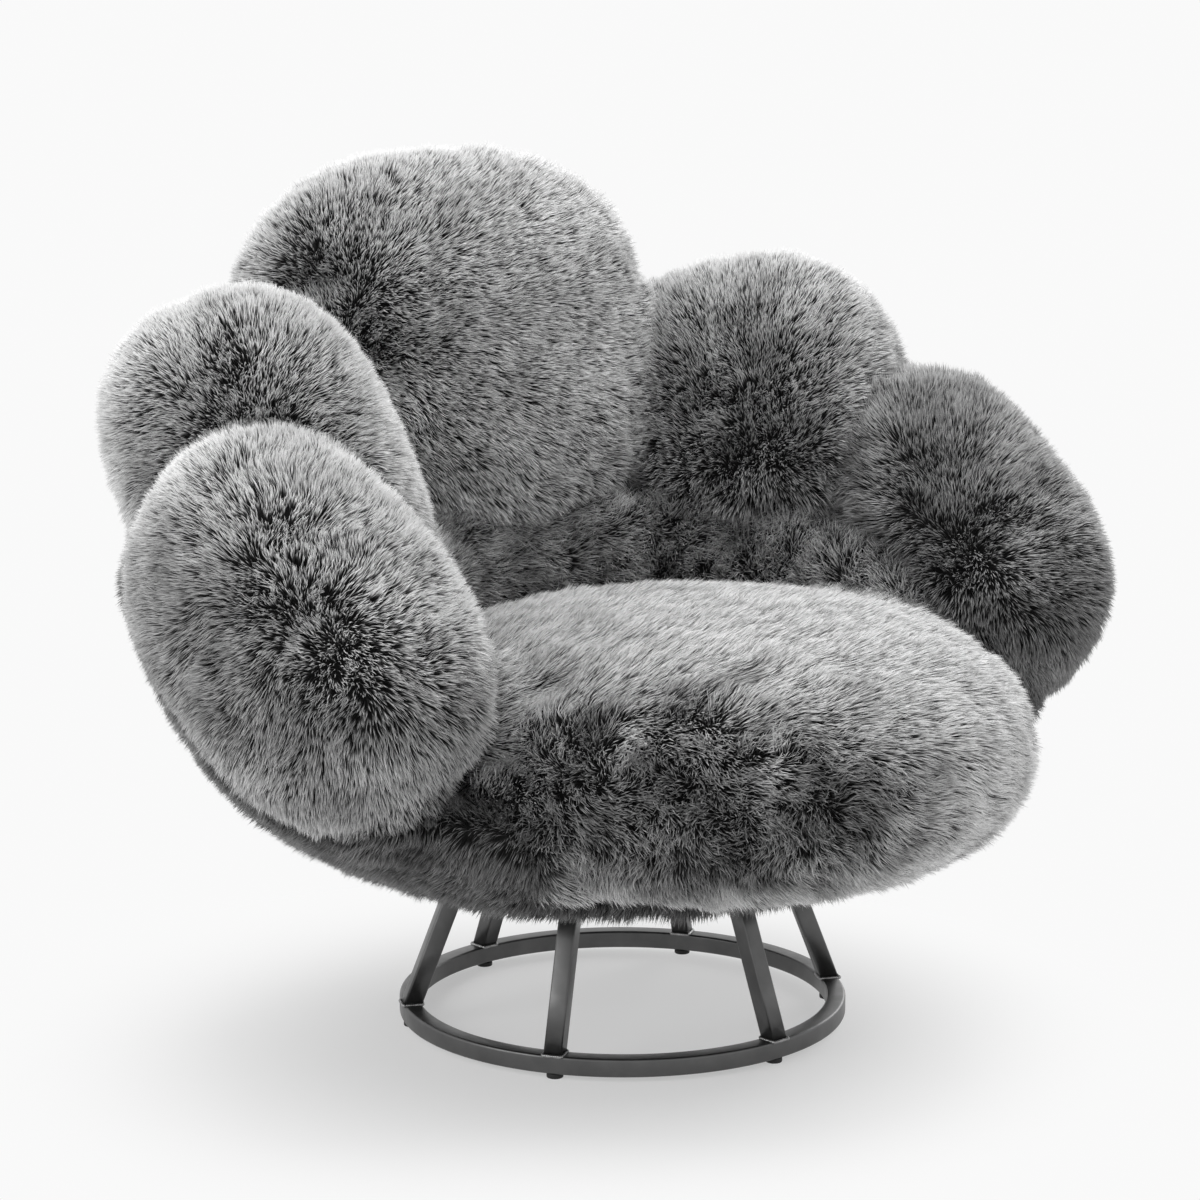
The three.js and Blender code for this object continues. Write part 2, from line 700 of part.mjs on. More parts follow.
seat.add(piece('upper_swivel_plate', upperSwivelPlate(), zinc));
seat.add(piece('seat_board', seatBoard(), plywood));
seat.add(piece('dust_cover', dustCover(), lining));
lobePlaces.forEach((place) => {
  const { name } = place;
  seat.add(piece(`${name}_panel`, panel(place), plywood, panelPlace(place), [0, 0, panelTurn(place)]));
  seat.add(piece(`${name}_lobe`, lobe(place), fur));
});
seat.add(piece('collar', collar(), fur));
seat.add(piece('shell', shell(), fur));
seat.add(piece('seat_cushion', seatCushion(), seatFur));

export default chair;
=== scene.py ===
"""Looks of a swivel lounge chair: five fur lobes, a collar and a plump seat on a caged steel base.

Metres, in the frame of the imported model: +Z is up, the chair faces -Y, the origin is on the floor.
"""
import math
from collections import namedtuple

import bpy
import numpy as np
from mathutils import Matrix, Vector
from mathutils.bvhtree import BVHTree


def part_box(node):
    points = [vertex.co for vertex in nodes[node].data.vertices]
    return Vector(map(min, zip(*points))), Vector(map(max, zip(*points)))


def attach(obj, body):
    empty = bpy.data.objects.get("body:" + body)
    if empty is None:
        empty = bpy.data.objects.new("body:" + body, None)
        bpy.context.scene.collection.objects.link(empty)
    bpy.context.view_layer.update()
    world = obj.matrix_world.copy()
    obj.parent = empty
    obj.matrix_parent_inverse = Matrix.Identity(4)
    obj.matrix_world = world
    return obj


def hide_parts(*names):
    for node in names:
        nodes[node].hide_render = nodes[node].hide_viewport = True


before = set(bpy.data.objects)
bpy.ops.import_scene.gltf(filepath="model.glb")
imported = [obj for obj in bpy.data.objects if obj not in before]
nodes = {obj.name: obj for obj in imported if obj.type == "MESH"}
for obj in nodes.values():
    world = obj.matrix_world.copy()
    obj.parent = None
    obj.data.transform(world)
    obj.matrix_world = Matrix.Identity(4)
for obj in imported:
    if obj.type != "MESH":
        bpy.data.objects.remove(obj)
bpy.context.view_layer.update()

UP = np.array([0.0, 0.0, 1.0])
TINY = 1e-9                                # keeps a division from being by nothing
NUDGE = 1e-4                               # keeps two directions from being the same

# Camera, fitted to the photograph
CAMERA_AZIMUTH = math.radians(-37.5)
CAMERA_ELEVATION = math.radians(10.48)
CAMERA_DISTANCE = 3.384
CAMERA_LENS = 98.27                        # millimetres, as is the sensor
CAMERA_SENSOR = 36.0
AIM_RIGHT = -0.0237
AIM_HEIGHT = 0.442
PHOTO_SIDE = 1200                          # pixels

# Floor ring and glides
RING_RADIUS = 0.225
RING_WIDTH = 0.020
RING_HEIGHT = 0.019
RING_CORNER = 0.0028
RING_STEPS = 192
GLIDE_RADIUS = 0.0085
GLIDE_HEIGHT = 0.0055
GLIDE_GAP = 0.0002                         # between a glide and the ring
GLIDE_EDGE = 0.0012                        # radius of its rounded edges
GLIDE_EDGE_STEPS = 5
GLIDE_BORE = 0.0001                        # keeps the turned outline off the axis
GLIDE_STEPS = 40
RING_TOP = GLIDE_HEIGHT + RING_HEIGHT

# Struts and their welds
STRUT_NAMES = ("front", "front_right", "back_right", "back", "back_left", "front_left")
STRUT_SIDE = 0.019
STRUT_CORNER = 0.0024
STRUT_LEAN = math.radians(21.2)
STRUT_TOP = 0.186
STRUT_STEPS = 3
BASE_TURN = math.radians(4.8)
CORNER_STEPS = 5
WELD_RADIUS = 0.0017
WELD_STAND_OFF = 0.35                      # of its radius that a bead lies outside the strut
WELD_CORNER_STEPS = 8
WELD_STEP = 0.0007
WELD_SIDES = 10
WELD_RIPPLES = ((0.16, 1.9, 1), (0.1, 0.37, 2))    # share of the radius, pace along a bead, shift by strut

# Carried-over hardware
FLAT_ANGLE = math.radians(1)               # faces that meet at less are one flat face
EDGE_ANGLE = math.radians(40)              # edges that turn by more are broken
EDGE_SEGMENTS = 2
HARDWARE_EDGE = 0.0003
PLATE_EDGE = 0.0006
PLY_EDGE = 0.0008

# Colour ramps of the materials, as (place, grey or colour)
STEEL_TINT = ((0.3, 0.098), (0.7, 0.135))
STEEL_GLOSS = ((0.3, 0.33), (0.7, 0.42))
WELD_TINT = ((0.3, 0.22), (0.75, 0.42))
ZINC_TINT = ((0.35, 0.36), (0.65, 0.5))
ZINC_GLOSS = ((0.3, 0.26), (0.7, 0.42))
PLASTIC_TINT = ((0.3, 0.008), (0.7, 0.016))
PLY_TINT = ((0.3, (0.42, 0.28, 0.15)), (0.7, (0.62, 0.45, 0.26)))
LINING_TINT = ((0.1, 0.006), (0.9, 0.016))
BACKING_TINT = ((0.1, 0.006), (0.9, 0.014))
FLOOR_TINT = ((0.3, 0.88), (0.7, 0.92))
WEAVE_SCALE = 380                          # about 12 threads to the centimetre

# Fur colours: ramps from root to tip, and the brightness of the darkest and the lightest strands, between
# which the fur's random tones and its painted light and shade lie
LOBE_RAMP = ((0.0, 0.008), (0.44, 0.018), (0.6, 0.22), (0.76, 0.92), (1.0, 1.0))
LOBE_SHADES = (0.25, 1.0)
COLLAR_RAMP = ((0.0, 0.008), (0.4, 0.02), (0.6, 0.16), (0.8, 0.75), (1.0, 1.0))
COLLAR_SHADES = (0.2, 1.0)
SHELL_RAMP = ((0.0, 0.008), (0.42, 0.02), (0.6, 0.12), (0.8, 0.45), (1.0, 0.7))
SHELL_SHADES = (0.3, 1.0)
SEAT_RAMP = ((0.0, 0.010), (0.4, 0.03), (0.58, 0.32), (0.76, 0.86), (1.0, 0.97))
SEAT_SHADES = (0.3, 1.02)
TONES = 16                                 # shades that the strands of one piece come in
UV_MAP = "OFBake"
BLADE_MARGIN = 0.15                        # of a tone's column that stays free beside a blade
TIP_MARGIN = 0.01                          # of the map that stays free at root and tip

# Padded bodies
SOFT = ("back_lobe", "left_side_lobe", "right_side_lobe", "left_arm_lobe", "right_arm_lobe",
        "collar", "shell", "seat_cushion")
BACKING = ("seat_board", "dust_cover")     # what closes the body underneath
SKIN_VOXEL = 0.008
PILE = 0.018                               # from the skin to the outer shape of the fur
LEAST_PILE = 0.002
THIN_SHARE = 0.42                          # of a thin wall that the pile may take
WALL_START = 0.001                         # past a wall's near side, from where its far side is looked for
WALL_REACH = 0.12                          # how far away that far side may be
OWNER_REACH = 0.02                         # how far the body's surface may lie from the piece it belongs to
PILE_ROUNDS = 12                           # of smoothing for the depth of the pile
SETTLE_PASSES = 3
SETTLE_ROUNDS = 2                          # of smoothing for a pad that has been pushed in
NEAR_SURFACE = 0.002                       # closer than this, the surface's normal gives the way inwards
BURIED_BAND = (0.006, 0.014)               # extra depth over which a skin is hidden by its neighbours

# Cloth simulation
CLOTH_CAP = 0.006                          # the furthest that the filling may blow a point out
CLOTH_ROOM = 0.6                           # of that cap, by which a pad starts smaller
CLOTH_FRAMES = 20
CLOTH_QUALITY = 4
CLOTH_PRESSURE = 4
CLOTH_STIFFNESS = 12
CLOTH_BENDING = 0.4
CLOTH_GROWTH = 0.03                        # share by which the cover is larger than the pad
CLOTH_LOOSE = 0.99                         # a point that is looser isn't held at all

# Strands
RANDOM_SEED = 20
SEED_STEP = 10                             # from one soft piece to the next
STRANDS_PER_SQUARE_METRE = 310_000
STRANDS_PER_PIECE = 99_000
STRAND_LENGTH = 0.027
STRAND_WIDTH = 0.00095
STRAND_BEND = 0.68                         # share of its length where a strand bends and starts to taper
LENGTH_SPREAD = (0.8, 1.08)
WIDTH_SPREAD = (0.7, 1.3)
PILE_SHARE = {"seat_cushion": 1.12, "collar": 1.1}          # of the strand length, where it differs
PILE_MESS = {"seat_cushion": 1.7, "collar": 2.4}            # of the common waywardness, where it differs
TUFT_SIZE = 0.006
TUFT_PULL = 0.7                            # share of the way that the tips of a tuft close up
TUFT_SHAKES = 4096
TUFT_SHAKE = (0.1, 0.9)                    # of a cell of the lattice, where a tuft's centre may lie
CELL_HASH = np.array([73856093, 19349663, 83492791])
STRAY = 0.1                                # how far single strands lean at random
BLADE_TURN = 0.7                           # radians
ROOT_LEAN = 0.35                           # how much of lean and swirl a strand has at its root
ROOT_SWIRL = 0.5
TIP_LEAN = 1.25                            # how far it leans and still rises at its tip
TIP_RISE = 0.75
TONE_SPREAD = 0.13
NORMAL_ROUNDS = 3                          # of smoothing for the normals that strands stand on
CREASE_ROUNDS = 40                         # how far a crease between two pieces reaches, where strands are shorter and painted shade darkens the fur
CREASE_BAND = (0.03, 0.42)
CREASE_SHORT = 0.55
# painted shade of the fur in a crease between pieces
CREASE_PAINTED_SHADE = 0.9

# Waves over the fur, as (wavelength, strength)
WIDE_SWIRL = (0.055, 0.2)
FINE_SWIRL = (0.018, 0.13)
LENGTH_WAVE = (0.03, 0.07)
TONE_WAVE = (0.07, 0.1)
SEAT_EDGE_WAVE = (0.05, 0.07)
WAVE_COUNT = 14
WAVE_SPREAD = (0.7, 1.6)

# Fur of the lobes
# painted light and shade: brightness of each lobe's upright sides and level top, lighter on top and darker on
# the right lobes
LOBE_PAINTED_LIGHT = {"back_lobe": (0.66, 1.0), "left_side_lobe": (0.66, 1.0), "left_arm_lobe": (0.38, 1.0),
              "right_side_lobe": (0.28, 0.88), "right_arm_lobe": (0.08, 0.45)}
LEVEL_BAND = (0.0, 0.8)
PARTING_PIXEL = {"back_lobe": (332, 280), "left_side_lobe": (267, 402), "left_arm_lobe": (322, 568),
                 "right_side_lobe": (713, 400), "right_arm_lobe": (962, 482)}
PARTING_LEAN = 0.62                        # of the strands round a lobe's parting
PARTING_REACH = 0.21                       # where they lean most
PARTING_FADE = 0.6                         # share of the way to its end where the lean starts to fade
PARTING_END = 0.5
LOBE_FALL = 0.2                            # how strongly strands hang down low on a lobe
LOBE_FALL_BAND = (-0.2, 0.6)

# Fur of the collar
# painted light: brightness of the collar's upright sides and of its lighter level top
COLLAR_PAINTED_LIGHT = (0.5, 1.0)
COLLAR_AROUND = 0.3
COLLAR_RISE = 0.1

# Fur of the shell
SHELL_SIDE_TONE = 0.12
SHELL_BACK_PAINTED_LIGHT = 0.5                     # painted light added behind
SHELL_BACK_BAND = (-0.05, 0.3)
SHELL_UNDER_PAINTED_LIGHT = 0.25                   # painted light added below
SHELL_UNDER_BAND = (0.35, 0.8)
SHELL_AROUND = 0.3
SHELL_MIDDLE = 0.15                        # half the width behind over which the fur changes sides
SHELL_FALL = 0.8
SHELL_OUT = 0.4
SHELL_OUT_BAND = (0.3, 0.8)

# Fur of the seat
# direction of the seat's left front, where its fur is painted darker as shade
SEAT_SHADED_FRONT = np.array([-0.62, -0.78, 0.0])
# painted light and shade of the seat: brightness on top, less painted shade at the left front and round the
# side
SEAT_PAINTED_TOP_LIGHT = 0.96
SEAT_FRONT_PAINTED_SHADE = 0.62
SEAT_FRONT_SHADE_BAND = (0.6, 0.92)
SEAT_RIM_PAINTED_SHADE = 0.22
SEAT_TOP_BAND = (0.2, 0.8)
SEAT_NAP = np.array([0.85, -0.45, 0.0])
SEAT_NAP_LEAN = 1.5
SEAT_FALL = 0.5
SEAT_FALL_BAND = (0.1, 0.9)
SEAT_FRONT = np.array([-0.6, -0.78, 0.1])
SEAT_FRONT_LEAN = 0.75
SEAT_FRONT_BAND = (0.58, 0.95)
SEAT_UNDER_FALL = 0.3
SEAT_UNDER_BAND = (0.3, 0.95)

# Studio
SKY = 0.7
BACKDROP = 0.95
FLOOR_REACH = 30
SHADOW_MIDDLE = (-0.1, -0.02, 0.0)
SHADOW_BAND = (0.2, 0.62)                  # distances from its middle over which the floor's shadow fades
SHADOW_LIFT = 0.42                         # share of the backdrop's brightness in its middle
LIGHTS = (                                 # name, place, aim, size, watts
    ("key", (0.2, 0.2, 2.9), (0, 0, 0.5), 2.4, 46),
    ("left", (-2.7, 0.1, 1.2), (0, 0, 0.45), 1.6, 20),
    ("right", (2.5, 0.9, 1.3), (0, 0, 0.45), 1.6, 18),
)


def unit(vectors):
    """Rows scaled to length 1."""
    size = np.linalg.norm(vectors, axis=-1, keepdims=True)
    return vectors / np.maximum(size, TINY)


def dot(a, b):
    return np.sum(a * b, axis=-1, keepdims=True)


def smooth(value, low, high):
    """0 below low, 1 above high, eased between."""
    share = np.clip((value - low) / (high - low), 0, 1)
    return share * share * (3 - 2 * share)


def linked(made):
    """Puts an object into the scene."""
    bpy.context.scene.collection.objects.link(made)
    return made


# View

def view_axes():
    """The camera's directions: back from what it looks at, right and up."""
    azimuth, elevation = CAMERA_AZIMUTH, CAMERA_ELEVATION
    back = Vector((math.sin(azimuth) * math.cos(elevation), -math.cos(azimuth) * math.cos(elevation),
                   math.sin(elevation)))
    right = Vector((math.cos(azimuth), math.sin(azimuth), 0))
    return back, right, back.cross(right)


def camera_place():
    back, right, _ = view_axes()
    return right * AIM_RIGHT + Vector((0, 0, AIM_HEIGHT)) + back * CAMERA_DISTANCE


# Materials

def shader(name, roughness, metallic=0.0, specular=0.5):
    """A material, its node tree and its Principled node."""
    made = bpy.data.materials.new(name)
    made.use_nodes = True
    tree = made.node_tree
    surface = tree.nodes["Principled BSDF"]
    surface.inputs["Roughness"].default_value = roughness
    surface.inputs["Metallic"].default_value = metallic
    surface.inputs["Specular IOR Level"].default_value = specular
    return made, tree, surface


def node(tree, kind, inputs=None, **properties):
    """A new node with its properties and, by socket name or number, its input values."""
    made = tree.nodes.new(kind)
    for key, value in properties.items():
        setattr(made, key, value)
    for key, value in (inputs or {}).items():
        made.inputs[key].default_value = value
    return made


def ramp(tree, source, stops):
    """The colours of a ramp over source with (place, grey or colour) stops."""
    made = node(tree, "ShaderNodeValToRGB")
    elements = made.color_ramp.elements
    while len(elements) < len(stops):
        elements.new(0.5)
    for element, (place, colour) in zip(elements, stops):
        element.position = place
        element.color = (*(colour if isinstance(colour, tuple) else (colour,) * 3), 1)
    tree.links.new(source, made.inputs["Fac"])
    return made.outputs["Color"]


def bump(tree, surface, height, strength, distance):
    made = node(tree, "ShaderNodeBump", inputs={"Strength": strength, "Distance": distance})
    tree.links.new(height, made.inputs["Height"])
    tree.links.new(made.outputs["Normal"], surface.inputs["Normal"])


def noise(tree, scale, detail=4.0, stretch=(1, 1, 1), roughness=0.55):
    """Noise over the object's own coordinates, stretched by a factor along each axis."""
    place = node(tree, "ShaderNodeTexCoord")
    mapping = node(tree, "ShaderNodeMapping", inputs={"Scale": stretch})
    made = node(tree, "ShaderNodeTexNoise",
                inputs={"Scale": scale, "Detail": detail, "Roughness": roughness})
    tree.links.new(place.outputs["Object"], mapping.inputs["Vector"])
    tree.links.new(mapping.outputs["Vector"], made.inputs["Vector"])
    return made.outputs["Fac"]


def satin_steel():
    """Satin steel tube with faint clouds in its tint and gloss, and a fine grain."""
    made, tree, surface = shader("satin_steel", roughness=0.36, metallic=0.92)
    tree.links.new(ramp(tree, noise(tree, scale=26, detail=5), STEEL_TINT), surface.inputs["Base Color"])
    tree.links.new(ramp(tree, noise(tree, scale=60, detail=3), STEEL_GLOSS), surface.inputs["Roughness"])
    bump(tree, surface, noise(tree, scale=900, detail=2), strength=0.08, distance=0.0004)
    return made


def weld_steel():
    """Bare weld metal, brighter and rougher than the tube."""
    made, tree, surface = shader("weld_steel", roughness=0.34, metallic=0.95)
    tree.links.new(ramp(tree, noise(tree, scale=180, detail=3), WELD_TINT), surface.inputs["Base Color"])
    bump(tree, surface, noise(tree, scale=420, detail=3), strength=0.3, distance=0.0006)
    return made


def zinc():
    """Bright zinc plate with faint crystals."""
    made, tree, surface = shader("zinc", roughness=0.32, metallic=1.0)
    tree.links.new(ramp(tree, noise(tree, scale=120, detail=2), ZINC_TINT), surface.inputs["Base Color"])
    tree.links.new(ramp(tree, noise(tree, scale=45, detail=4), ZINC_GLOSS), surface.inputs["Roughness"])
    return made


def black_plastic():
    """Moulded black plastic with a fine grain."""
    made, tree, surface = shader("black_plastic", roughness=0.55, specular=0.4)
    tree.links.new(ramp(tree, noise(tree, scale=300), PLASTIC_TINT), surface.inputs["Base Color"])
    bump(tree, surface, noise(tree, scale=1500, detail=2), strength=0.15, distance=0.0003)
    return made


def birch_ply():
    """Birch face veneer with long grain."""
    made, tree, surface = shader("birch_ply", roughness=0.6, specular=0.3)
    grain = noise(tree, scale=14, detail=8, stretch=(1, 12, 1), roughness=0.6)
    tree.links.new(ramp(tree, grain, PLY_TINT), surface.inputs["Base Color"])
    bump(tree, surface, grain, strength=0.12, distance=0.0006)
    return made


def woven_lining(name, tint):
    """Plain woven backing cloth."""
    made, tree, surface = shader(name, roughness=0.9, specular=0.2)
    place = node(tree, "ShaderNodeTexCoord")
    both = node(tree, "ShaderNodeMath", operation="MULTIPLY")
    for index, direction in enumerate(("X", "Y")):
        threads = node(tree, "ShaderNodeTexWave", bands_direction=direction,
                       inputs={"Scale": WEAVE_SCALE, "Distortion": 0.4, "Detail": 1})
        tree.links.new(place.outputs["Object"], threads.inputs["Vector"])
        tree.links.new(threads.outputs["Fac"], both.inputs[index])
    weave = both.outputs["Value"]
    tree.links.new(ramp(tree, weave, tint), surface.inputs["Base Color"])
    bump(tree, surface, weave, strength=0.3, distance=0.0004)
    return made


def fur_material(name, stops, shades):
    """Strands that run from dark roots to frosted tips; each of the TONES has a brightness of its own, which
    carries the random tone and the painted light and shade of the fur.

    The UV map runs over the tones from left to right and up each strand from its root to its tip.
    """
    made, tree, surface = shader(name, roughness=0.55, specular=0.25)
    surface.inputs["Sheen Weight"].default_value = 0.15
    surface.inputs["Sheen Roughness"].default_value = 0.5
    place = node(tree, "ShaderNodeUVMap", uv_map=UV_MAP)
    parts = node(tree, "ShaderNodeSeparateXYZ")
    tree.links.new(place.outputs["UV"], parts.inputs["Vector"])
    steps = node(tree, "ShaderNodeMath", operation="MULTIPLY", inputs={1: TONES})
    whole = node(tree, "ShaderNodeMath", operation="FLOOR")
    shade = node(tree, "ShaderNodeMapRange",
                 inputs={"From Min": 0, "From Max": TONES - 1, "To Min": shades[0], "To Max": shades[1]})
    mixed = node(tree, "ShaderNodeVectorMath", operation="SCALE")
    tree.links.new(parts.outputs["X"], steps.inputs[0])
    tree.links.new(steps.outputs["Value"], whole.inputs[0])
    tree.links.new(whole.outputs["Value"], shade.inputs["Value"])
    tree.links.new(ramp(tree, parts.outputs["Y"], stops), mixed.inputs[0])
    tree.links.new(shade.outputs["Result"], mixed.inputs["Scale"])
    tree.links.new(mixed.outputs["Vector"], surface.inputs["Base Color"])
    return made


STEEL = satin_steel()
WELD = weld_steel()
ZINC = zinc()
PLASTIC = black_plastic()
PLY = birch_ply()
LINING = woven_lining("lining_cloth", LINING_TINT)
SKIN = woven_lining("fur_backing", BACKING_TINT)
LOBE_FUR = fur_material("lobe_fur", LOBE_RAMP, LOBE_SHADES)
COLLAR_FUR = fur_material("collar_fur", COLLAR_RAMP, COLLAR_SHADES)
SHELL_FUR = fur_material("shell_fur", SHELL_RAMP, SHELL_SHADES)
SEAT_FUR = fur_material("seat_fur", SEAT_RAMP, SEAT_SHADES)


# Meshes

def mesh_object(name, points, faces, material):
    """A smooth shaded mesh in the scene."""
    mesh = bpy.data.meshes.new(name)
    mesh.from_pydata([tuple(p) for p in points], [], faces)
    mesh.validate()
    mesh.polygons.foreach_set("use_smooth", [True] * len(mesh.polygons))
    mesh.materials.append(material)
    return linked(bpy.data.objects.new(name, mesh))


def points_of(mesh):
    found = np.empty(len(mesh.vertices) * 3)
    mesh.vertices.foreach_get("co", found)
    return found.reshape(-1, 3)


def normals_of(mesh):
    found = np.empty(len(mesh.vertices) * 3)
    mesh.vertex_normals.foreach_get("vector", found)
    return found.reshape(-1, 3)


def triangles_of(mesh):
    mesh.calc_loop_triangles()
    found = np.empty(len(mesh.loop_triangles) * 3, np.int32)
    mesh.loop_triangles.foreach_get("vertices", found)
    return found.reshape(-1, 3)


def edges_of(mesh):
    found = np.empty(len(mesh.edges) * 2, np.int32)
    mesh.edges.foreach_get("vertices", found)
    return found.reshape(-1, 2)


def tree_of(mesh):
    return BVHTree.FromPolygons(points_of(mesh).tolist(), triangles_of(mesh).tolist())


def rounded_rectangle(width, height, corner, steps=CORNER_STEPS):
    """Outline points of a rounded rectangle, centred on 0, anticlockwise."""
    found = []
    for k, (sx, sy) in enumerate(((1, 1), (-1, 1), (-1, -1), (1, -1))):
        for j in range(steps + 1):
            angle = (k + j / steps) * math.pi / 2
            found.append((sx * (width / 2 - corner) + corner * math.cos(angle),
                          sy * (height / 2 - corner) + corner * math.sin(angle)))
    return found


def dotted(path, step):
    """Points at about even steps round a closed outline."""
    found = []
    for (x0, y0), (x1, y1) in zip(path, path[1:] + path[:1]):
        pieces = max(1, round(math.hypot(x1 - x0, y1 - y0) / step))
        found += [(x0 + (x1 - x0) * j / pieces, y0 + (y1 - y0) * j / pieces) for j in range(pieces)]
    return found


def swept(rings, closed):
    """Points and faces of a tube over rings of equal size, closed on itself or with its two ends capped."""
    count = len(rings[0])
    points = [p for ring in rings for p in ring]
    faces = []
    for k in range(len(rings) if closed else len(rings) - 1):
        here, there = k * count, ((k + 1) % len(rings)) * count
        for j in range(count):
            after = (j + 1) % count
            faces.append((here + j, here + after, there + after, there + j))
    if not closed:
        faces.append(tuple(reversed(range(count))))
        faces.append(tuple(range((len(rings) - 1) * count, len(rings) * count)))
    return points, faces


def turned(name, profile, steps, material):
    """Solid of revolution about Z through (radius, height) points."""
    rings = []
    for k in range(steps):
        angle = 2 * math.pi * k / steps
        rings.append([(r * math.cos(angle), r * math.sin(angle), z) for r, z in profile])
    points, faces = swept(rings, closed=True)
    return mesh_object(name, points, faces, material)


# Base

def strut_place(k):
    """Foot of a strut on the ring's top, its outward and sideways directions."""
    angle = BASE_TURN + 2 * math.pi * k / len(STRUT_NAMES)
    out = Vector((math.sin(angle), -math.cos(angle), 0))
    side = Vector((math.cos(angle), math.sin(angle), 0))
    return out * RING_RADIUS + Vector((0, 0, RING_TOP)), out, side


def floor_ring():
    """Rolled square tube with rounded corners."""
    middle = GLIDE_HEIGHT + RING_HEIGHT / 2
    profile = [(RING_RADIUS + x, middle + z)
               for x, z in rounded_rectangle(RING_WIDTH, RING_HEIGHT, RING_CORNER)]
    made = turned("ring_tube", profile, RING_STEPS, STEEL)
    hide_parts("floor_ring")
    return made


def strut(k, name):
    """Square tube with rounded corners, leaning inwards from the ring to the mounting plate."""
    foot, out, side = strut_place(k)
    section = rounded_rectangle(STRUT_SIDE, STRUT_SIDE / math.cos(STRUT_LEAN), STRUT_CORNER)
    rings = []
    for step in range(STRUT_STEPS + 1):
        height = (STRUT_TOP - RING_TOP) * step / STRUT_STEPS
        middle = foot - out * height * math.tan(STRUT_LEAN) + Vector((0, 0, height))
        rings.append([middle + side * x + out * y for x, y in section])
    points, faces = swept(rings, closed=False)
    made = mesh_object(f"{name}_strut_tube", points, faces, STEEL)
    made.data.polygons[-1].use_smooth = made.data.polygons[-2].use_smooth = False
    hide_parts(f"{name}_strut")
    return made


def weld_bead(k, name):
    """Rippled fillet of weld metal round a strut's foot."""
    foot, out, side = strut_place(k)
    reach = 2 * WELD_RADIUS * WELD_STAND_OFF
    path = dotted(rounded_rectangle(STRUT_SIDE + reach, STRUT_SIDE / math.cos(STRUT_LEAN) + reach,
                                    STRUT_CORNER, WELD_CORNER_STEPS), WELD_STEP)
    rings = []
    for j, (x, y) in enumerate(path):
        next_x, next_y = path[(j + 1) % len(path)]
        along = (side * (next_x - x) + out * (next_y - y)).normalized()
        across = along.cross(Vector((0, 0, 1)))
        ripples = sum(share * math.sin(j * pace + k * shift) for share, pace, shift in WELD_RIPPLES)
        radius = WELD_RADIUS * (1 + ripples)
        middle = foot + side * x + out * y
        rings.append([middle + across * radius * math.cos(a) + Vector((0, 0, radius * math.sin(a)))
                      for a in (2 * math.pi * i / WELD_SIDES for i in range(WELD_SIDES))])
    points, faces = swept(rings, closed=True)
    return mesh_object(f"{name}_weld", points, faces, WELD)


def glide(k, name):
    """Low black foot with rounded edges, under a strut."""
    foot, _, _ = strut_place(k)
    top = GLIDE_HEIGHT - GLIDE_GAP
    profile = [(GLIDE_BORE, 0.0)]
    for start, middle in ((-math.pi / 2, GLIDE_EDGE), (0.0, top - GLIDE_EDGE)):
        for step in range(GLIDE_EDGE_STEPS + 1):
            angle = start + math.pi / 2 * step / GLIDE_EDGE_STEPS
            profile.append((GLIDE_RADIUS - GLIDE_EDGE + GLIDE_EDGE * math.cos(angle),
                            middle + GLIDE_EDGE * math.sin(angle)))
    profile.append((GLIDE_BORE, top))
    made = turned(f"{name}_glide_pad", profile, GLIDE_STEPS, PLASTIC)
    made.data.transform(Matrix.Translation((foot.x, foot.y, 0)))
    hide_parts(f"{name}_glide")
    return made


def base():
    pieces = [floor_ring()]
    for k, name in enumerate(STRUT_NAMES):
        pieces += [strut(k, name), weld_bead(k, name), glide(k, name)]
    for piece in pieces:
        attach(piece, "base")


def soften(cad, width):
    """Joins the flat faces of a carried-over piece and breaks its edges by a small bevel."""
    joined = cad.modifiers.new("joined faces", "DECIMATE")
    joined.decimate_type = "DISSOLVE"
    joined.angle_limit = FLAT_ANGLE
    edge = cad.modifiers.new("broken edges", "BEVEL")
    edge.width = width
    edge.segments = EDGE_SEGMENTS
    edge.limit_method = "ANGLE"
    edge.angle_limit = EDGE_ANGLE


def hidden_hardware():
    """Finishes of the pieces inside; the first word that a node's name holds counts."""
    finishes = (("bearing", ZINC, 0), ("cage", ZINC, 0), ("swivel", ZINC, HARDWARE_EDGE),
                ("rivet", ZINC, HARDWARE_EDGE), ("bolt", ZINC, HARDWARE_EDGE), ("nut", ZINC, HARDWARE_EDGE),
                ("mounting_plate", STEEL, PLATE_EDGE), ("panel", PLY, PLY_EDGE), ("board", PLY, PLY_EDGE),
                ("dust_cover", LINING, 0))
    for name, cad in nodes.items():
        for word, material, edge in finishes:
            if word in name:
                cad.data.materials.clear()
                cad.data.materials.append(material)
                if edge:
                    soften(cad, edge)
                break


# Padded bodies

def remeshed(name, sources):
    """One closed mesh of even quads round the CAD solids named."""
    points, faces = [], []
    for source in sources:
        mesh = nodes[source].data
        offset = len(points)
        points += [v.co[:] for v in mesh.vertices]
        faces += [tuple(offset + i for i in p.vertices) for p in mesh.polygons]
    raw = mesh_object(name + "_raw", points, faces, SKIN)
    even = raw.modifiers.new("even", "REMESH")
    even.mode = "VOXEL"
    even.voxel_size = SKIN_VOXEL
    found = bpy.data.meshes.new_from_object(raw.evaluated_get(bpy.context.evaluated_depsgraph_get()))
    bpy.data.objects.remove(raw)
    return found


def relaxed(values, edges, rounds, share=0.5):
    """Values at a mesh's vertices, each drawn towards the mean of its neighbours."""
    count = np.maximum(np.bincount(edges.ravel(), minlength=len(values)), 1)
    flat = values.reshape(len(values), -1)
    for _ in range(rounds):
        total = np.zeros_like(flat)
        for column in range(flat.shape[1]):
            total[:, column] = (
                np.bincount(edges[:, 0], flat[edges[:, 1], column], len(flat))
                + np.bincount(edges[:, 1], flat[edges[:, 0], column], len(flat)))
        flat = flat * (1 - share) + total / count[:, None] * share
    return flat.reshape(values.shape)


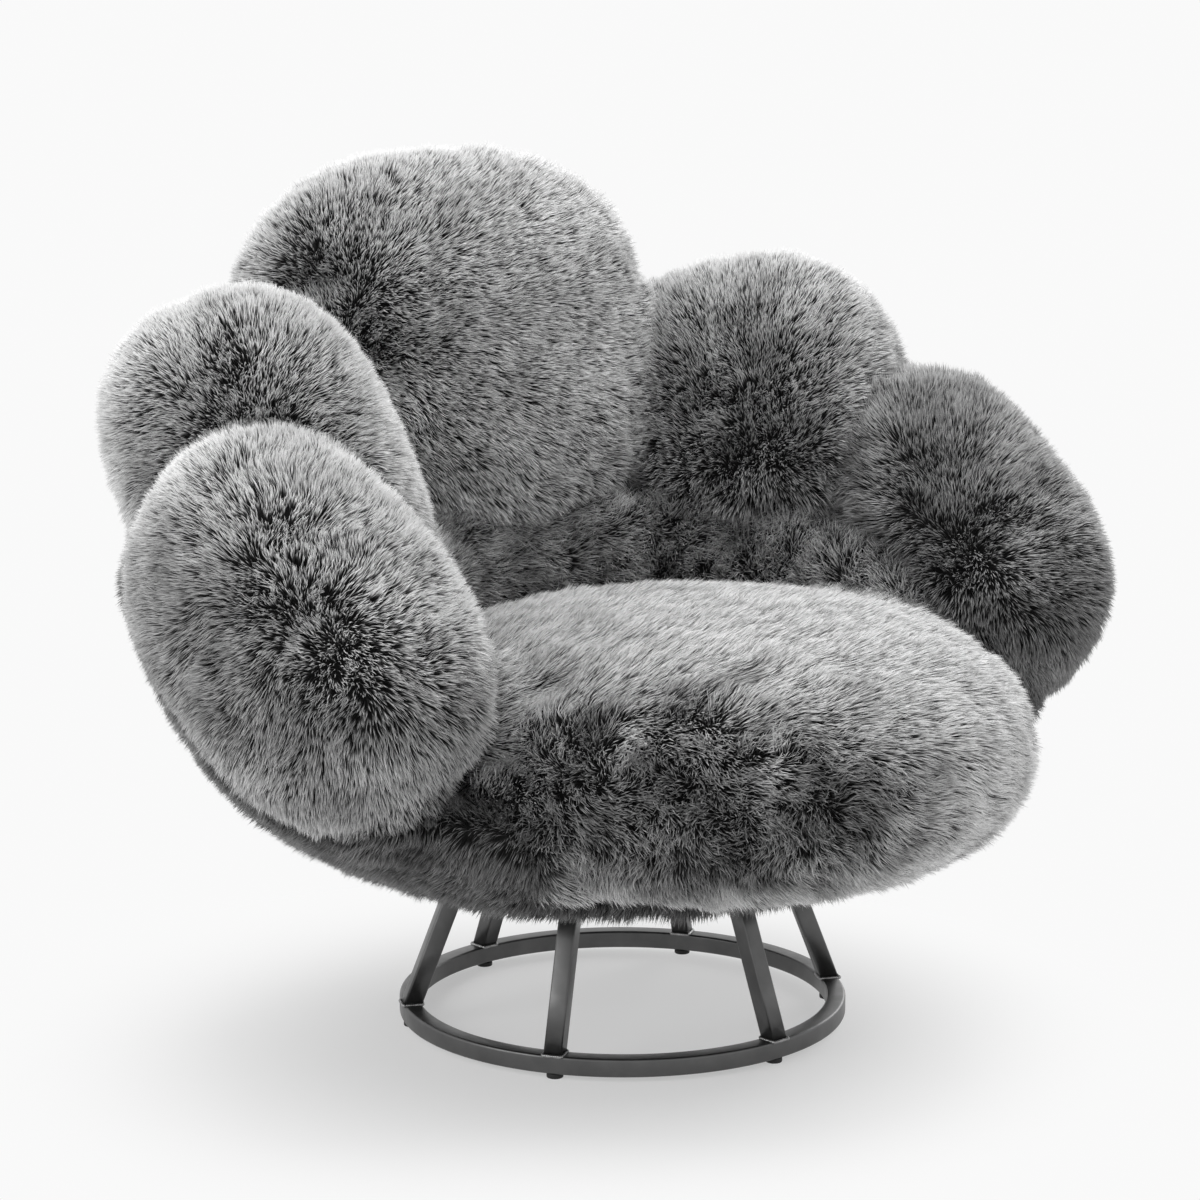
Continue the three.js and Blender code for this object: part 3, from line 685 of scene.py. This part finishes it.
def pile_at(place, inward, trees):
    """How deep the skin lies at a place on the body's surface: less where the piece there has a thin wall."""
    nearest, owner = math.inf, None
    for tree in trees:
        _, _, _, distance = tree.find_nearest(place, OWNER_REACH)
        if distance is not None and distance < nearest:
            nearest, owner = distance, tree
    if owner is None:
        return PILE
    _, _, _, thickness = owner.ray_cast(place + inward * (nearest + WALL_START), inward, WALL_REACH)
    if thickness is None:
        return PILE
    return min(PILE, max(LEAST_PILE, thickness * THIN_SHARE))


def body_surface():
    """Outer surface of the whole upholstered body, and at each of its vertices how deep the skin lies."""
    mesh = remeshed("body", SOFT + BACKING)
    trees = [tree_of(nodes[name].data) for name in SOFT + BACKING]
    depth = np.array([pile_at(Vector(point), -Vector(normal), trees)
                      for point, normal in zip(points_of(mesh), normals_of(mesh))])
    depth = relaxed(depth, edges_of(mesh), PILE_ROUNDS)
    return {"tree": tree_of(mesh), "triangles": triangles_of(mesh), "depth": depth}


def depth_in(body, points):
    """For each point, its depth below the body's surface, the wanted depth there, and the way inwards."""
    found = np.empty((len(points), 5))
    for index, point in enumerate(points):
        place = Vector(point)
        hit, normal, face, distance = body["tree"].find_nearest(place)
        corners = body["triangles"][face]
        inside = (place - hit).dot(normal) < 0
        inward = (place - hit).normalized() if inside and distance > NEAR_SURFACE else -normal
        found[index] = (distance if inside else -distance, body["depth"][corners].mean(), *inward)
    return found[:, 0], found[:, 1], found[:, 2:]


def settled(body, points, edges, extra):
    """Points pushed in until they lie as deep as the pile wants, plus extra."""
    for _ in range(SETTLE_PASSES):
        depth, wanted, inward = depth_in(body, points)
        short = np.maximum(wanted + extra * wanted / PILE - depth, 0)
        points = points + inward * short[:, None]
    return relaxed(points, edges, SETTLE_ROUNDS)


def puff(made, loose):
    """Blows the pad up as cloth, holding what isn't loose; no point moves further than CLOTH_CAP."""
    before = points_of(made.data)
    group = made.vertex_groups.new(name="held")
    for index in np.nonzero(loose < CLOTH_LOOSE)[0]:
        group.add([int(index)], float(1 - loose[index]), "REPLACE")
    cloth = made.modifiers.new("filling", "CLOTH")
    cloth.settings.quality = CLOTH_QUALITY
    cloth.settings.use_pressure = True
    cloth.settings.uniform_pressure_force = CLOTH_PRESSURE
    cloth.settings.tension_stiffness = CLOTH_STIFFNESS
    cloth.settings.compression_stiffness = CLOTH_STIFFNESS
    cloth.settings.bending_stiffness = CLOTH_BENDING
    cloth.settings.shrink_min = -CLOTH_GROWTH
    cloth.settings.vertex_group_mass = "held"
    cloth.settings.effector_weights.gravity = 0
    cloth.collision_settings.use_collision = False
    cloth.point_cache.frame_start = 1
    cloth.point_cache.frame_end = CLOTH_FRAMES
    scene = bpy.context.scene
    for number in range(1, CLOTH_FRAMES + 1):
        scene.frame_set(number)
    blown = made.evaluated_get(bpy.context.evaluated_depsgraph_get())
    after = points_of(blown.data)
    made.modifiers.remove(cloth)
    made.vertex_groups.remove(group)
    scene.frame_set(1)
    move = after - before
    reach = np.linalg.norm(move, axis=1, keepdims=True)
    move *= np.minimum(1, CLOTH_CAP / np.maximum(reach, TINY)) * loose[:, None]
    made.data.vertices.foreach_set("co", (before + move).astype(np.float32).ravel())
    made.data.update()


def pad(name, body):
    """The stuffed body of one soft piece, and how far each of its points shows between its neighbours."""
    mesh = remeshed(name, (name,))
    mesh.polygons.foreach_set("use_smooth", [True] * len(mesh.polygons))
    mesh.materials.clear()
    mesh.materials.append(SKIN)
    room = CLOTH_CAP * CLOTH_ROOM
    points = settled(body, points_of(mesh), edges_of(mesh), room)
    mesh.vertices.foreach_set("co", points.astype(np.float32).ravel())
    mesh.update()
    made = linked(bpy.data.objects.new(name + "_pad", mesh))
    depth, wanted, _ = depth_in(body, points)
    shown = 1 - smooth(depth - wanted, *BURIED_BAND)
    puff(made, shown)
    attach(made, "seat")
    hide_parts(name)
    return made, shown


# Strands

def along_surface(vectors, normals):
    return vectors - normals * dot(vectors, normals)


def sampled(mesh, shown, rng):
    """Random places on the shown part of a skin: points, smoothed normals, and how near a crease, 0 to 1."""
    points = points_of(mesh)
    edges = edges_of(mesh)
    normals = unit(relaxed(normals_of(mesh), edges, NORMAL_ROUNDS))
    crease = smooth(1 - relaxed(shown, edges, CREASE_ROUNDS), *CREASE_BAND)
    triangles = triangles_of(mesh)
    corners = points[triangles]
    area = np.linalg.norm(np.cross(corners[:, 1] - corners[:, 0], corners[:, 2] - corners[:, 0]), axis=1) / 2
    weight = area * np.where(shown[triangles].mean(axis=1) > 0.5, 1, 0)
    count = int(weight.sum() * STRANDS_PER_SQUARE_METRE)
    chosen = rng.choice(len(triangles), count, p=weight / weight.sum())
    a, b = rng.random((2, count, 1))
    flip = a + b > 1
    a, b = np.where(flip, 1 - a, a), np.where(flip, 1 - b, b)
    blend = np.concatenate([1 - a - b, a, b], axis=1)[:, :, None]
    picked = triangles[chosen]
    return ((points[picked] * blend).sum(axis=1), unit((normals[picked] * blend).sum(axis=1)),
            (crease[picked] * blend[:, :, 0]).sum(axis=1))


def ripple(points, wave, seed):
    """Smooth random vectors; wave is their wavelength and strength."""
    wavelength, strength = wave
    rng = np.random.default_rng(seed)
    total = np.zeros_like(points)
    for _ in range(WAVE_COUNT):
        direction = unit(rng.normal(size=3)) * 2 * math.pi / (wavelength * rng.uniform(*WAVE_SPREAD))
        phase = rng.uniform(0, 2 * math.pi)
        total += np.sin(points @ direction + phase)[:, None] * rng.normal(size=3)
    return total / math.sqrt(WAVE_COUNT) * strength


def tuft_centres(points, seed):
    """The nearest point of a shaken lattice to each point."""
    rng = np.random.default_rng(seed)
    shakes = rng.uniform(*TUFT_SHAKE, (TUFT_SHAKES, 3))
    cell = np.floor(points / TUFT_SIZE).astype(np.int64)
    best = np.full(len(points), np.inf)
    found = np.zeros_like(points)
    steps = (-1, 0, 1)
    for offset in ((i, j, k) for i in steps for j in steps for k in steps):
        here = cell + offset
        centre = (here + shakes[(here @ CELL_HASH) % TUFT_SHAKES]) * TUFT_SIZE
        distance = ((points - centre) ** 2).sum(axis=1)
        nearer = distance < best
        best[nearer] = distance[nearer]
        found[nearer] = centre[nearer]
    return found


def point_along(root, first, last, length, share):
    """The point at a share of the length of strands whose direction turns evenly from first to last."""
    return root + length * (share * first + share ** 2 / 2 * (last - first))


def blades(name, root, first, last, side, length, width, tone, material):
    """Strands as one mesh, each a bent blade that is widest at its bend and pointed at root and tip."""
    count = len(root)
    middle = point_along(root, first, last, length, STRAND_BEND)
    tip = point_along(root, first, last, length, 1.0)
    points = np.stack([root, middle - side * width / 2, middle + side * width / 2, tip], axis=1)
    corners = np.arange(count, dtype=np.int32)[:, None] * 4 + [[0, 1, 2, 2, 1, 3]]
    mesh = bpy.data.meshes.new(name)
    mesh.vertices.add(count * 4)
    mesh.vertices.foreach_set("co", points.astype(np.float32).ravel())
    mesh.loops.add(count * 6)
    mesh.loops.foreach_set("vertex_index", corners.astype(np.int32).ravel())
    mesh.polygons.add(count * 2)
    mesh.polygons.foreach_set("loop_start", np.arange(count * 2, dtype=np.int32) * 3)
    mesh.polygons.foreach_set("use_smooth", np.ones(count * 2, bool))
    left, right = BLADE_MARGIN, 1 - BLADE_MARGIN
    across = np.array([0.5, left, right, right, left, 0.5])
    uv = np.empty((count, 6, 2), np.float32)
    uv[:, :, 0] = (tone[:, None] + across) / TONES
    uv[:, :, 1] = [TIP_MARGIN, *[STRAND_BEND] * 4, 1 - TIP_MARGIN]
    mesh.uv_layers.new(name=UV_MAP).data.foreach_set("uv", uv.ravel())
    mesh.materials.append(material)
    mesh.update(calc_edges=True)
    return linked(bpy.data.objects.new(name, mesh))


def strand_ways(root, normal, lean, mess, seed, rng):
    """The directions in which strands leave their roots, and those in which they end."""
    swirl = ripple(root, WIDE_SWIRL, seed + 1) + ripple(root, FINE_SWIRL, seed + 5)
    swirl = along_surface(swirl, normal) * mess
    stray = along_surface(rng.normal(size=root.shape), normal) * STRAY * mess
    gather = along_surface(tuft_centres(root, seed + 2) - root, normal) / STRAND_LENGTH
    first = unit(normal + lean * ROOT_LEAN + swirl * ROOT_SWIRL + stray)
    # A tip moves by half of what its last direction does.
    last = unit(normal * TIP_RISE + lean * TIP_LEAN + swirl + stray + gather * TUFT_PULL * 2)
    return first, last


def strand_lengths(name, root, crease, seed, rng):
    length = STRAND_LENGTH * PILE_SHARE.get(name, 1.0) * rng.uniform(*LENGTH_SPREAD, (len(root), 1))
    length *= 1 + ripple(root, LENGTH_WAVE, seed + 3)[:, :1]
    return length * (1 - CREASE_SHORT * crease[:, None])


def fur(name, skin, shown, look, seed):
    """Strands over one pad, in pieces of at most STRANDS_PER_PIECE from its bottom to its top."""
    rng = np.random.default_rng(seed)
    root, normal, crease = sampled(skin.data, shown, rng)
    count = len(root)
    lean = along_surface(look.comb(root, normal), normal)
    first, last = strand_ways(root, normal, lean, PILE_MESS.get(name, 1.0), seed, rng)
    length = strand_lengths(name, root, crease, seed, rng)
    width = STRAND_WIDTH * rng.uniform(*WIDTH_SPREAD, (count, 1))
    ahead = unit(first + last)
    flat = unit(np.cross(normal, ahead + NUDGE))
    turn = rng.normal(0, BLADE_TURN, (count, 1))
    side = flat * np.cos(turn) + np.cross(ahead, flat) * np.sin(turn)
    # painted light and shade by place and facing, random tone, and painted shade in the creases
    level = (look.frost(root, normal) + ripple(root, TONE_WAVE, seed + 4)[:, 0]
             + rng.normal(0, TONE_SPREAD, count) - CREASE_PAINTED_SHADE * crease)
    tone = np.clip(level * TONES, 0, TONES - 1).astype(int)
    order = np.argsort(root[:, 2], kind="stable")
    pieces = max(1, math.ceil(count / STRANDS_PER_PIECE))
    for index, chosen in enumerate(np.array_split(order, pieces)):
        made = blades(f"{name}_fur_{index + 1}", root[chosen], first[chosen], last[chosen], side[chosen],
                      length[chosen], width[chosen], tone[chosen], look.material)
        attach(made, "seat")


# Looks of the fur: comb(points, normals) says how far and which way strands lean, and the second field,
# a function of the same points and normals, how light they are, from 0 to 1: painted light and shade
Look = namedtuple("Look", "comb frost material slot")


def parting_of(name):
    """Where the photograph shows the pile of a lobe part, as a point on its solid."""
    back, right, up = view_axes()
    across, down = PARTING_PIXEL[name]
    pixels_away = CAMERA_LENS / CAMERA_SENSOR * PHOTO_SIDE
    ray = right * (across - PHOTO_SIDE / 2) - up * (down - PHOTO_SIDE / 2) - back * pixels_away
    place, _, _, _ = tree_of(nodes[name].data).ray_cast(camera_place(), ray.normalized())
    return np.array(place)


def lobe_comb(name):
    """Strands of a lobe stand up at its parting, lean away from it all round, and hang down low on it."""
    parting = parting_of(name)

    def comb(points, normals):
        away = along_surface(points - parting, normals)
        distance = np.linalg.norm(points - parting, axis=1, keepdims=True)
        near = smooth(distance, 0.0, PARTING_REACH)
        near = near * (1 - smooth(distance, PARTING_END * PARTING_FADE, PARTING_END))
        fall = smooth(-normals[:, 2:], *LOBE_FALL_BAND)
        return unit(away) * PARTING_LEAN * near - UP * LOBE_FALL * fall

    return comb


def painted_top_light(upright, level):
    """Painted light and shade: brightness of fur on the upright sides of a piece and on its lighter level
    top.
    """
    def frost(points, normals):
        return upright + (level - upright) * smooth(normals[:, 2], *LEVEL_BAND)

    return frost


def outward(points):
    """Level directions away from the chair's axis."""
    return unit(points * [1, 1, 0])


def around(points):
    """Level directions round the chair's axis, anticlockwise from above."""
    return unit(np.cross(UP, points * [1, 1, 0]))


def collar_comb(points, normals):
    return UP * COLLAR_RISE - around(points) * COLLAR_AROUND


def shell_painted_light(points, normals):
    """Painted light: the shell is lighter behind and below than at its sides."""
    return (SHELL_SIDE_TONE + SHELL_BACK_PAINTED_LIGHT * smooth(points[:, 1], *SHELL_BACK_BAND)
            + SHELL_UNDER_PAINTED_LIGHT * smooth(-normals[:, 2], *SHELL_UNDER_BAND))


def shell_comb(points, normals):
    """The fur of the shell hangs down and round its sides, and spreads outwards below."""
    under = smooth(-normals[:, 2:], *SHELL_OUT_BAND)
    side = np.clip(points[:, :1] / SHELL_MIDDLE, -1, 1)
    return (around(points) * side * SHELL_AROUND - UP * SHELL_FALL * (1 - under)
            + outward(points) * SHELL_OUT * under)


def ahead_of(points):
    """How far points lie from the middle of the seat, 0, towards its left front, 1, where painted shade
    darkens the fur.
    """
    low, high = (np.array(corner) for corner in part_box("seat_cushion"))
    return (points - (low + high) / 2) @ SEAT_SHADED_FRONT / ((high - low)[0] / 2)


def seat_painted_light(points, normals):
    """Painted light and shade: the seat is light on top, painted darker round its side, and darkest at its
    left front.
    """
    jagged = ahead_of(points) + ripple(points, SEAT_EDGE_WAVE, RANDOM_SEED)[:, 0]
    rim = 1 - smooth(normals[:, 2], *SEAT_TOP_BAND)
    return SEAT_PAINTED_TOP_LIGHT - SEAT_FRONT_PAINTED_SHADE * smooth(jagged, *SEAT_FRONT_SHADE_BAND) - SEAT_RIM_PAINTED_SHADE * rim


def seat_comb(points, normals):
    """The nap of the seat runs to the right, stands out at its left front and hangs down below."""
    out = smooth(ahead_of(points), *SEAT_FRONT_BAND)[:, None]
    under = smooth(-normals[:, 2:], *SEAT_UNDER_BAND)
    fall = smooth(1 - normals[:, 2:], *SEAT_FALL_BAND)
    nap = SEAT_NAP * SEAT_NAP_LEAN - UP * SEAT_FALL * fall
    front = SEAT_FRONT * SEAT_FRONT_LEAN * (1 - under)
    return nap * (1 - out) + front * out - UP * SEAT_UNDER_FALL * under


def look_of(name):
    if name == "collar":
        return Look(collar_comb, painted_top_light(*COLLAR_PAINTED_LIGHT), COLLAR_FUR, "collar_fur")
    if name == "shell":
        return Look(shell_comb, shell_painted_light, SHELL_FUR, "shell_fur")
    if name == "seat_cushion":
        return Look(seat_comb, seat_painted_light, SEAT_FUR, "seat_fur")
    return Look(lobe_comb(name), painted_top_light(*LOBE_PAINTED_LIGHT[name]), LOBE_FUR, "lobe_fur")


def upholstery():
    body = body_surface()
    for number, name in enumerate(SOFT):
        skin, shown = pad(name, body)
        look = look_of(name)
        fur(name, skin, shown, look, RANDOM_SEED + SEED_STEP * number)


# Studio

def camera():
    back, _, _ = view_axes()
    data = bpy.data.cameras.new("camera")
    data.sensor_width = CAMERA_SENSOR
    data.lens = CAMERA_LENS
    made = linked(bpy.data.objects.new("camera", data))
    made.location = camera_place()
    made.rotation_euler = back.to_track_quat("Z", "Y").to_euler()
    bpy.context.scene.camera = made


def area_light(name, place, aim, size, power):
    data = bpy.data.lights.new(name, "AREA")
    data.shape = "DISK"
    data.size = size
    data.energy = power
    made = linked(bpy.data.objects.new(name, data))
    made.location = place
    made.rotation_euler = (Vector(place) - Vector(aim)).to_track_quat("Z", "Y").to_euler()


def seen_directly(tree):
    """1 for what the camera, a reflection or a glass surface sees of the background."""
    path = node(tree, "ShaderNodeLightPath")
    total = path.outputs["Is Camera Ray"]
    for ray in ("Is Glossy Ray", "Is Transmission Ray"):
        both = node(tree, "ShaderNodeMath", operation="ADD", use_clamp=True)
        tree.links.new(total, both.inputs[0])
        tree.links.new(path.outputs[ray], both.inputs[1])
        total = both.outputs["Value"]
    return total


def sky():
    """An even white sky, which shows as the pale backdrop."""
    world = bpy.data.worlds.new("studio")
    world.use_nodes = True
    tree = world.node_tree
    background = tree.nodes["Background"]
    background.inputs["Color"].default_value = (1, 1, 1, 1)
    strength = node(tree, "ShaderNodeMapRange", inputs={"To Min": SKY, "To Max": BACKDROP})
    tree.links.new(seen_directly(tree), strength.inputs["Value"])
    tree.links.new(strength.outputs["Result"], background.inputs["Strength"])
    bpy.context.scene.world = world


def floor_material():
    """A pale floor that keeps the shadow under the chair and turns into the backdrop away from it."""
    made, tree, surface = shader("studio_floor", roughness=0.9, specular=0.1)
    tree.links.new(ramp(tree, noise(tree, scale=3, detail=2), FLOOR_TINT), surface.inputs["Base Color"])
    place = node(tree, "ShaderNodeTexCoord")
    moved = node(tree, "ShaderNodeVectorMath", operation="SUBTRACT", inputs={1: SHADOW_MIDDLE})
    far = node(tree, "ShaderNodeVectorMath", operation="LENGTH")
    fade = node(tree, "ShaderNodeMapRange", interpolation_type="SMOOTHSTEP",
                inputs={"From Min": SHADOW_BAND[0], "From Max": SHADOW_BAND[1], "To Min": SHADOW_LIFT,
                        "To Max": 1.0})
    shown = node(tree, "ShaderNodeMath", operation="MULTIPLY")
    white = node(tree, "ShaderNodeEmission", inputs={"Strength": BACKDROP})
    mixed = node(tree, "ShaderNodeMixShader")
    tree.links.new(place.outputs["Object"], moved.inputs[0])
    tree.links.new(moved.outputs["Vector"], far.inputs[0])
    tree.links.new(far.outputs["Value"], fade.inputs["Value"])
    tree.links.new(fade.outputs["Result"], shown.inputs[0])
    tree.links.new(seen_directly(tree), shown.inputs[1])
    tree.links.new(shown.outputs["Value"], mixed.inputs["Fac"])
    tree.links.new(surface.outputs["BSDF"], mixed.inputs[1])
    tree.links.new(white.outputs["Emission"], mixed.inputs[2])
    tree.links.new(mixed.outputs["Shader"], tree.nodes["Material Output"].inputs["Surface"])
    return made


def studio():
    sky()
    corners = [(-FLOOR_REACH, -FLOOR_REACH, 0), (FLOOR_REACH, -FLOOR_REACH, 0),
               (FLOOR_REACH, FLOOR_REACH, 0), (-FLOOR_REACH, FLOOR_REACH, 0)]
    floor = mesh_object("studio_floor", corners, [(0, 1, 2, 3)], floor_material())
    for light in LIGHTS:
        area_light(*light)
    bpy.context.scene.view_settings.view_transform = "Standard"


camera()
studio()
base()
hidden_hardware()
upholstery()
